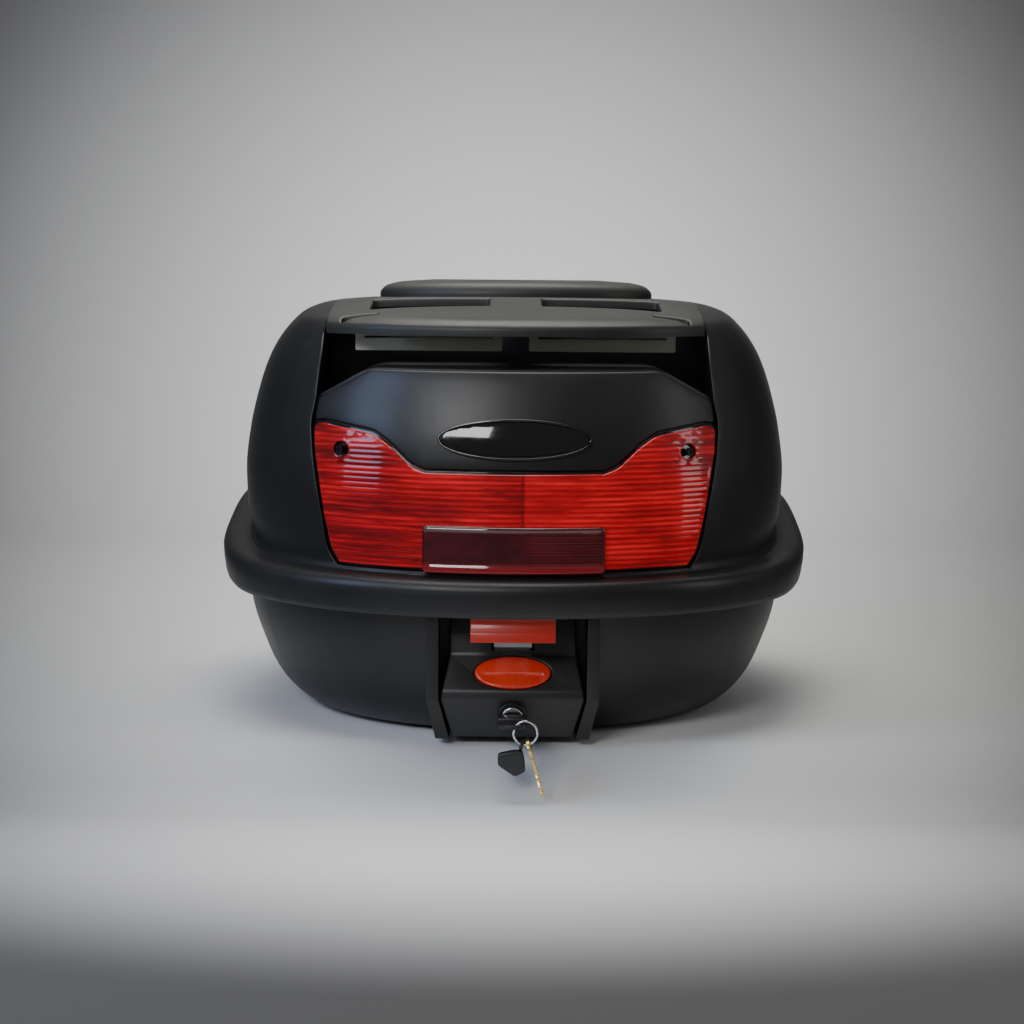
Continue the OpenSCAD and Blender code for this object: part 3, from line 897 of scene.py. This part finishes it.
LENS_FACE = 0.8
LENS_RIB = 0.13
SCREW_X, SCREW_Z = 112, 189
CENTRE_HALF, CENTRE_LOW, CENTRE_TOP = 58, 113.3, 143.5
CENTRE_SINK = 0.9
CENTRE_RIB, CENTRE_RIB_STEP, CENTRE_RIB_X = 0.12, 3, 8


def lens_place(x, z, off):
    """The reflector's face has level ribs."""
    if off == LENS_FACE:
        off += LENS_RIB * (math.sin(2 * math.pi * z / RIB_STEP) - 1)
    return rear_place(x, z, off)


def make_reflector():
    loop = resample(lens_outline(), 3)
    tray = patch("reflector_back", [inset(turned(loop, True), -1.2)], fillet(0.5, -2, -3.9),
                 rear_place, (8, 8))
    dress(tray, "tray", "lid", ["reflector_tray"])
    holes = [oval(4.8, 4.8, (side * SCREW_X, SCREW_Z), 32) for side in (-1, 1)]
    lens = patch("reflector_red", [loop] + holes, fillet(1.3, LENS_FACE, -1.8), lens_place,
                 (5, RIB_STEP / 4))
    dress(lens, "lens", "lid", ["reflector_lens"])
    middle_loop = rounded([(CENTRE_HALF, CENTRE_LOW), (CENTRE_HALF, CENTRE_TOP),
                           (-CENTRE_HALF, CENTRE_TOP), (-CENTRE_HALF, CENTRE_LOW)], 3, 5)
    middle = patch("reflector_centre", [resample(middle_loop, 3)], fillet(1.8, 5.3, 1.1),
                   centre_place, (3, 1))
    dress(middle, "smoked", "lid", ["centre_lens"])


def centre_place(x, z, off):
    """The centre block's face is sunk between its two lips, and ribbed on the right."""
    if off > 5:
        off -= CENTRE_SINK * smooth_step((z - 117.5) / 1.5) * smooth_step((141.5 - z) / 1.5)
        if x > CENTRE_RIB_X:
            off += CENTRE_RIB * math.sin(2 * math.pi * z / CENTRE_RIB_STEP)
    return rear_place(x, z, off)


BADGE_Z = 198
BADGE_HALF_W, BADGE_HALF_H = 47.3, 11.3
BADGE_DOME = 0.7


def badge_place(x, z, off):
    dome = BADGE_DOME * max(0, 1 - (x / 47.4) ** 2 - ((z - BADGE_Z) / 11.4) ** 2)
    return rear_place(x, z, off + (dome if off > 0 else 0))


def make_badge():
    plate = patch("badge_dome", [oval(BADGE_HALF_W, BADGE_HALF_H, (0, BADGE_Z))],
                  fillet(0.5, 0.3, -1.4), badge_place, (3, 1.5))
    dress(plate, "badge", "lid", ["badge_plate"])
    ring_loops = [oval(49, 13, (0, BADGE_Z), 128), oval(47.5, 11.5, (0, BADGE_Z), 128)]
    bezel = patch("badge_rim", ring_loops, fillet(0.5, 0.9, -1.4), rear_place, (20, 20))
    dress(bezel, "bezel", "lid", ["badge_bezel"])


RACK_HALF = 126.7
RACK_FRONT = -30.5
RACK_REAR_Z = 266
RACK_LIFT = 1.5
RACK_UNDER = 262
RACK_THICK = 5.5
LIP = 15
# Half of each pair of holes through the rack: x from, x to, y from, y to.
RACK_HOLES = [(18, 98, -86, -44), (91, 115, -112, -104)]
CROWN_Y = 54
CROWN = [(298, 60, 44, 44), (296.4, 84, 55, 55), (293, 96, 61, 61), (288, 100, 63, 63),
         (285.2, 100, 63, 63)]
CROWN_HEIGHTS = [285.2, 286.5, 288, 289.5, 291, 292, 293, 294, 294.9, 295.7, 296.4, 297,
                 297.4, 297.7, 297.9, 298]
INSERT_X, INSERT_Y = 58, -95


def rack_rear(x):
    return rear_y(x, RACK_REAR_Z, RACK_LIFT)


def rack_place(x, y, drop):
    """The rack's top follows the roof, and its underside is level along the lip."""
    top = roof_z(x, y, RACK_LIFT)
    if drop == DEEP:
        return (x, y, RACK_UNDER if y < rack_rear(x) + LIP else top - RACK_THICK)
    return (x, y, top + drop)


def make_rack():
    rear = [(x, rack_rear(x)) for x in range(-126, 127, 4)]
    corner_y = rack_rear(RACK_HALF) + 3
    outline = [(RACK_HALF, RACK_FRONT), (-RACK_HALF, RACK_FRONT), (-RACK_HALF, corner_y)]
    outline += rear + [(RACK_HALF, corner_y)]
    holes = []
    for side in (-1, 1):
        for x0, x1, y0, y1 in RACK_HOLES:
            low, high = sorted((side * x0, side * x1))
            holes.append(resample(rounded(rectangle(low, high, y0, y1), 3, 5), 5))
    rack = patch("rack_plate", [resample(outline, 5)] + holes, fillet(1.8, 0, DEEP), rack_place,
                 (6, 5))
    dress(rack, "rack", "lid", ["roof_rack"])
    crown_profile = Profile(CROWN)
    crown = loft("crown_cap", [crown_profile.section(z) for z in CROWN_HEIGHTS], lid_share, 144)
    crown.data.transform(Matrix.Translation((0, CROWN_Y * MM, 0)))
    dress(crown, "rack", "lid", ["crown_panel"])
    plates = []
    for side in (-1, 1):
        middle = side * INSERT_X
        loop = rounded(rectangle(middle - 49, middle + 49, 250.5, 264.5), 1.5, 3)
        slot_loop = rounded(rectangle(middle - 43, middle + 43, 258.8, 260.2), 0.6, 3)
        plates.append(patch("plate", [loop, slot_loop], fillet(0.5, 1.5, -1.5),
                            lambda x, z, off: (x, INSERT_Y - off, z), (6, 4)))
    dress(join("handhold_plates", plates), "insert", "lid", ["handhold_inserts"])


# ---- tub and lock housing

TUB_HEIGHTS = [0, 0.8, 1.8, 3, 5, 8, 12, 16, 20, 26, 32, 38, 45, 52, 59, 66, 72, 78, 84, 90]
TUB_CORE_GAP = -0.8
# The recess for the lock: half width, depth, where its walls turn in and by how much.
RECESS_HALF = 47.5
RECESS_BACK = -149.5
RECESS_TURN_Z = 31
RECESS_TAPER = 8
CHEEK = 8
CHEEK_FRONT = -148
CHEEK_REAR, CHEEK_TOP_REAR, FOOT_REAR = -182, -184.5, -174
PLATE_X, PLATE_Y = 75, 55
PLATE_GAP = 0.1


def make_cheek(side):
    """The wall beside the lock recess: upright above, turned in towards its foot."""
    inner, outside = side * RECESS_HALF, side * (RECESS_HALF + CHEEK)
    upper = hull("cheek", corners((inner, CHEEK_TOP_REAR, 84), (outside, CHEEK_FRONT, 89))
                 + corners((inner, CHEEK_REAR, RECESS_TURN_Z),
                           (outside, CHEEK_FRONT, RECESS_TURN_Z + 1)))
    lower = hull("foot", corners((inner, CHEEK_REAR, RECESS_TURN_Z - 0.1),
                                 (outside, CHEEK_FRONT, RECESS_TURN_Z))
                 + corners((side * (RECESS_HALF - RECESS_TAPER), FOOT_REAR, 4),
                           (side * (RECESS_HALF + 2), -130, 5)))
    return bevelled(combine(upper, [lower], "UNION"), 1.2, 3)


def make_tub():
    outer = [tub_profile.section(z) for z in TUB_HEIGHTS]
    shell = loft("tub_case", outer + TUB_RIM + TUB_IN, tub_share)
    solid = loft("solid", [tub_profile.section(z, TUB_CORE_GAP, TUB_CORE_GAP)
                           for z in TUB_HEIGHTS[1:]], tub_share)
    core = combine(block("core", (-51.5, -200, 2), (51.5, -146, 90)), [solid], "INTERSECT")
    parts = [core]
    for side in (-1, 1):
        parts.append(make_cheek(side))
        parts.append(bevelled(block("pad", (side * HINGE_X - 20, 168, 100),
                                    (side * HINGE_X + 20, 186, 125)), 1))
    combine(shell, parts, "UNION")
    recess = prism("recess", [(-RECESS_HALF, 99), (-RECESS_HALF, RECESS_TURN_Z),
                              (-RECESS_HALF + RECESS_TAPER, -1),
                              (RECESS_HALF - RECESS_TAPER, -1),
                              (RECESS_HALF, RECESS_TURN_Z), (RECESS_HALF, 99)],
                   upright, RECESS_BACK, CUT_REAR_Y)
    pocket = block("pocket", (-PLATE_X - PLATE_GAP, -PLATE_Y - PLATE_GAP, -1),
                   (PLATE_X + PLATE_GAP, PLATE_Y + PLATE_GAP, 7))
    notch = block("notch", (-36, -205, 86.5), (36, -186.2, 99))
    combine(shell, [pocket, notch, recess], "DIFFERENCE")
    dress(shell, "tub", "case", ["base_shell"])


BUTTON_MID = Vector((0, -173.25, 47.25))
BUTTON_TURN = math.radians(56)
BUTTON_HALF_W, BUTTON_HALF_H = 24.5, 11.2
LOCK_Z = 20
# The housing's bends: height, y of its face, half width.
HOUSING = [(5, -173, 38.8), (31, -181, 46.3), (36.5, -180.5, 45.5), (58, -166, 41),
           (84, -163, 41)]


def button_place(u, v, w):
    """Places a point in the button's own plane, which slopes with the housing's face."""
    c, s = math.cos(BUTTON_TURN), math.sin(BUTTON_TURN)
    return tuple(BUTTON_MID + Vector((u, v * c - w * s, v * s + w * c)))


def facing_rear(x, z, off):
    """Places a flat outline facing the rear, off in front of y = 0."""
    return (x, -off, z)


def make_housing():
    rings = [[(-w, RECESS_BACK, z), (-w, y, z), (w, y, z), (w, RECESS_BACK, z)]
             for z, y, w in HOUSING]
    body = bevelled(tube("lock_case", rings), 1.5, 4, 12)
    pocket = patch("pocket", [oval(24.9, 11.6)],
                   [(-1, 6), (-1, 0), (-0.6, -0.1), (-0.2, -0.4), (0, -1), (0, -9)],
                   button_place, (8, 8))
    barrel = patch("barrel", [oval(8.6, 8.6, (0, LOCK_Z), 64)],
                   [(0, 200), (0, 140)], facing_rear, (8, 8))
    slot_cut = block("slot", (-14, -172, 60.5), (14, -155, 71.5))
    combine(body, [pocket, barrel, slot_cut], "DIFFERENCE")
    dress(body, "housing", "case", ["lock_housing"])


def press_face(u, v, w):
    """Domed button with a scoop under its middle that catches the light."""
    if w > 1:
        w += 0.5 * max(0, 1 - (u / BUTTON_HALF_W) ** 2 - (v / BUTTON_HALF_H) ** 2)
        low = smooth_step((-0.6 - v) / 1.1) * smooth_step((20.5 - abs(u)) / 4)
        w -= low * max(0, 1.5 + (v + 1.6) * 0.2)
    return button_place(u, v, w)


def make_button():
    face = patch("release_push", [oval(BUTTON_HALF_W, BUTTON_HALF_H)], fillet(1.2, 1.4, -4),
                 press_face, (1.2, 0.7))
    flange = patch("flange", [oval(26.5, 12.4)], fillet(0.4, -4.02, -6), button_place, (9, 9))
    dress(join("release_push_button", [face, flange]), "button", "button",
          ["release_button"])


LATCH_HALF = 27


def make_latch():
    profile = [(-188.9, 97.9), (-191.9, 97.6), (-193.4, 95.4), (-192.2, 90), (-191, 85.5),
               (-190.9, 81.6), (-192, 78.6), (-193.6, 76), (-194.8, 70.4), (-191.2, 70.6),
               (-189.6, 73.6), (-187.2, 73.6), (-187.2, 77), (-188.4, 78), (-187.6, 95)]
    bar = prism("latch_lever", profile, lambda y, z, x: (x, y, z), -LATCH_HALF, LATCH_HALF)
    bevelled(bar, 0.5, 3, 14)
    dress(bar, "red", "latch", ["lid_latch"])


PLUG_R = 6.8


def make_lock():
    profile = [(7.1, -183.2), (7.5, -183.5), (9.0, -183.5), (9.6, -182.9), (9.6, -181.1),
               (8.5, -181.1), (8.5, -156), (6.85, -156), (6.85, -182.9)]
    rings = [[(x, y, z) for x, z in oval(r, r, (0, LOCK_Z), 64)] for r, y in profile]
    sleeve = tube("lock_collar", rings, closed=True)
    dress(sleeve, "dark_metal", "case", ["lock_sleeve"])
    slot_loop = rounded(rectangle(-3.7, 3.7, LOCK_Z - 1.3, LOCK_Z + 1.3), 0.4, 2)
    plug = patch("lock_plug", [oval(PLUG_R, PLUG_R, (0, LOCK_Z), 64), slot_loop],
                 fillet(0.8, 184, 154), facing_rear, (3, 3))
    dress(plug, "chrome", "key_plug", ["lock_cylinder"])


# ---- keys

KEY_Y = -207
RING_MID = Vector((8.3, KEY_Y, 15.3))
RING_R = 7.5
HANG = math.radians(16)
SPARE_TIP = -35


def hang_place(angle):
    """Places an outline edge on to the rear, hung from the ring's lowest point at an angle."""
    turn = Matrix.Rotation(-angle, 3, "Y")

    def place(y, z, x):
        return tuple(RING_MID + turn @ Vector((x, y, z - RING_R)))
    return place


def make_keys():
    shaft = hull("shaft", corners((-7, -188, LOCK_Z - 3), (7, -187.2, LOCK_Z + 3))
                 + corners((-9.5, -200, LOCK_Z - 3), (9.5, -193, LOCK_Z + 3)))
    bevelled(shaft, 1, 4)
    grip_loop = rounded([(-9.5, 199), (-9.5, 207), (-5, 213.5), (5, 213.5), (9.5, 207),
                         (9.5, 199)], 3, 5)
    grip = patch("grip", [resample(grip_loop, 2), oval(3.4, 3.4, (3.7, 207), 32)],
                 fillet(0.7, 1.3, -1.3), lambda x, y, off: (x, -y, LOCK_Z + off), (2, 2))
    dress(join("key_grip", [shaft, grip]), "key", "key_plug", ["key_head"])

    teeth = [(3.2, -8), (3.2, -35), (1.2, -36.8), (-1.4, -36), (-2, -33.4), (-3.1, -32),
             (-1.9, -30), (-3.1, -27.4), (-2.3, -25.4), (-1.3, -23.6), (-3.1, -21.6), (-2.2, -19.4),
             (-3.2, -17), (-3.2, -8)]
    teeth = [(y, max(z, SPARE_TIP)) for y, z in teeth]
    bow = [(7 * math.cos(a), -3 + 7 * math.sin(a))
           for a in (math.radians(-60 + 300 * k / 40) for k in range(41))]
    loop = [(3.2, SPARE_TIP), (3.2, -9.2)] + bow[1:-1] + [(-3.2, -9.2)] + teeth[::-1][1:-2]
    spare = patch("spare_key_brass", [resample(loop, 2), oval(2, 2, (0, 0), 24)],
                  fillet(0.25, 1, -1, 3), hang_place(HANG), (2, 2))
    dress(spare, "brass", "spare_key", ["spare_key"])

    fob_loop = rounded([(-9, 2), (1, 4.2), (6.6, 4.2), (8, -2), (8.6, -9), (2, -12.5),
                        (-4, -8.5), (-9, -5)], 2, 5)
    fob = patch("fob", [resample(fob_loop, 2)], fillet(1.1, 2.6, -2.6),
                lambda x, z, off: (x, KEY_Y - off, z), (2, 2))
    eyelet = patch("eyelet", [oval(3.6, 3.6, (0, 0), 32), oval(1.8, 1.8, (0, 0), 24)],
                   fillet(0.4, 1, -1, 3), hang_place(-HANG), (3, 3))
    dress(join("key_fob_body", [fob, eyelet]), "key", "key_fob", ["key_fob"])


# ---- CAD nodes that are shown

CAD_LOOKS = {
    "mount_plate": "plate", "rim_seal": "seal", "lock_nut": "steel", "housing_screws": "steel",
    "hinge_brackets": "dark_metal", "hinge_pins": "steel", "bracket_screws": "steel",
    "reflector_screws": "dark_metal", "hinge_arms": "dark_metal", "arm_screws": "steel",
    "latch_bracket": "dark_metal", "latch_pin": "steel", "catch_slide": "steel",
    "lock_cam": "steel", "key_blade": "steel", "key_ring": "chrome"}


def dress_nodes():
    """Gives the CAD nodes that stay in view their materials."""
    for name, look in CAD_LOOKS.items():
        obj = NODES[name]
        if obj.material_slots:
            for slot in obj.material_slots:
                slot.link = "OBJECT"
                slot.material = MATERIALS[look]
        else:
            obj.data.materials.append(MATERIALS[look])


# ---- stage and light

STEP_BACK, STEP_FRONT, STEP_DROP = -0.164, -0.203, 0.0305
FLOOR_FRONT = -2.2
WALL_Y = 1.6
WALL_BEND = 0.7
BEND_STEPS = 16
STAGE_HALF = 3.2
PAPER_PALE = (0.92, 0.92, 0.92)
PAPER_PAINTED_SHADE = (0.08, 0.08, 0.08)
PALE_WITHIN, PAINTED_SHADE_BEYOND = 0.03, 0.47


def make_stage():
    """Sheet of paper: low in front, where the keys hang, then level, then up a wall."""
    path = [(FLOOR_FRONT + 0.33 * k, -STEP_DROP) for k in range(6)]
    for k in range(BEND_STEPS + 1):
        y = STEP_FRONT + (STEP_BACK - STEP_FRONT) * k / BEND_STEPS
        path.append((y, -STEP_DROP * (1 - smooth_step(k / BEND_STEPS))))
    path += [(STEP_BACK + 0.15 * k, 0) for k in range(1, 7)]
    for k in range(BEND_STEPS + 1):
        a = math.pi / 2 * k / BEND_STEPS
        path.append((WALL_Y - WALL_BEND + WALL_BEND * math.sin(a),
                     WALL_BEND - WALL_BEND * math.cos(a)))
    path += [(WALL_Y, WALL_BEND + 0.3 * k) for k in range(1, 8)]
    mesh = bpy.data.meshes.new("backdrop")
    verts = [(x, y, z) for y, z in path for x in (-STAGE_HALF, STAGE_HALF)]
    faces = [(2 * k, 2 * k + 1, 2 * k + 3, 2 * k + 2) for k in range(len(path) - 1)]
    mesh.from_pydata(verts, [], faces)
    for face in mesh.polygons:
        face.use_smooth = True
    # The step is lit as if it were level, so that only the bend up the wall shades.
    turn = [min(1, max(0, (y - WALL_Y + WALL_BEND) / WALL_BEND)) for y, z in path]
    up_normals = [(0, -t, math.sqrt(1 - t * t)) for t in turn]
    mesh.normals_split_custom_set_from_vertices([n for n in up_normals for side in (0, 1)])
    stage = new_object("backdrop", mesh)
    g = Graph("stage_paper")
    x, y, z = (g.axis(g.coords, k) for k in ("X", "Y", "Z"))
    # Painted pool of light: the paper is palest round the case and darkens outwards with painted
    # shade.
    behind = g.math("MAXIMUM", g.math("ADD", y, 0.19), 0.0)
    before = g.math("MAXIMUM", g.math("SUBTRACT", -0.24, y), 0.0)
    reach = g.math("ADD", g.math("MULTIPLY", behind, 0.75), 1.0)
    up = g.math("DIVIDE", g.math("SUBTRACT", z, 0.08), reach)
    up = g.math("ADD", up, g.math("MULTIPLY", before, 1.75))
    across = g.math("DIVIDE", x, reach)
    away = g.math("SQRT", g.math("ADD", g.math("MULTIPLY", up, up),
                                 g.math("MULTIPLY", across, across)))
    colour = g.mix(g.remap(away, PALE_WITHIN, PAINTED_SHADE_BEYOND), PAPER_PALE, PAPER_PAINTED_SHADE)
    mesh.materials.append(g.finish(colour, 0.9))


def area_light(name, place, target, size, power, colour=(1, 1, 1)):
    data = bpy.data.lights.new(name, "AREA")
    data.shape = "RECTANGLE"
    data.size, data.size_y = size
    data.energy = power
    data.color = colour
    light = new_object(name, data)
    light.location = place
    light.rotation_euler = (Vector(target) - Vector(place)).to_track_quat("-Z", "Y").to_euler()


def make_lights():
    area_light("top", (-0.1, 0.05, 1.5), (0, 0, 0.1), (1.2, 1.0), 17, (1, 0.98, 0.93))
    area_light("left_sky", (-1.3, -0.75, 0.85), (-0.1, 0, 0.15), (0.5, 0.9), 8,
               (0.5, 0.66, 1.0))
    area_light("front", (-0.75, -1.9, 1.15), (0, 0, 0.12), (0.9, 0.45), 15)
    area_light("paper", (0, 0.75, 1.7), (0, 1.6, 0.3), (2.0, 0.4), 12)
    area_light("right", (1.5, -0.5, 0.6), (0.1, 0, 0.15), (0.3, 0.9), 2)
    world = bpy.data.worlds.new("studio")
    bpy.context.scene.world = world
    world.use_nodes = True
    sky = world.node_tree.nodes["Background"]
    sky.inputs["Color"].default_value = (0.8, 0.8, 0.8, 1)
    sky.inputs["Strength"].default_value = 0.2


for make in (make_lid, make_panel, make_reflector, make_badge, make_rack, make_tub, make_housing,
             make_button, make_latch, make_lock, make_keys, dress_nodes, make_stage,
             make_lights):
    make()
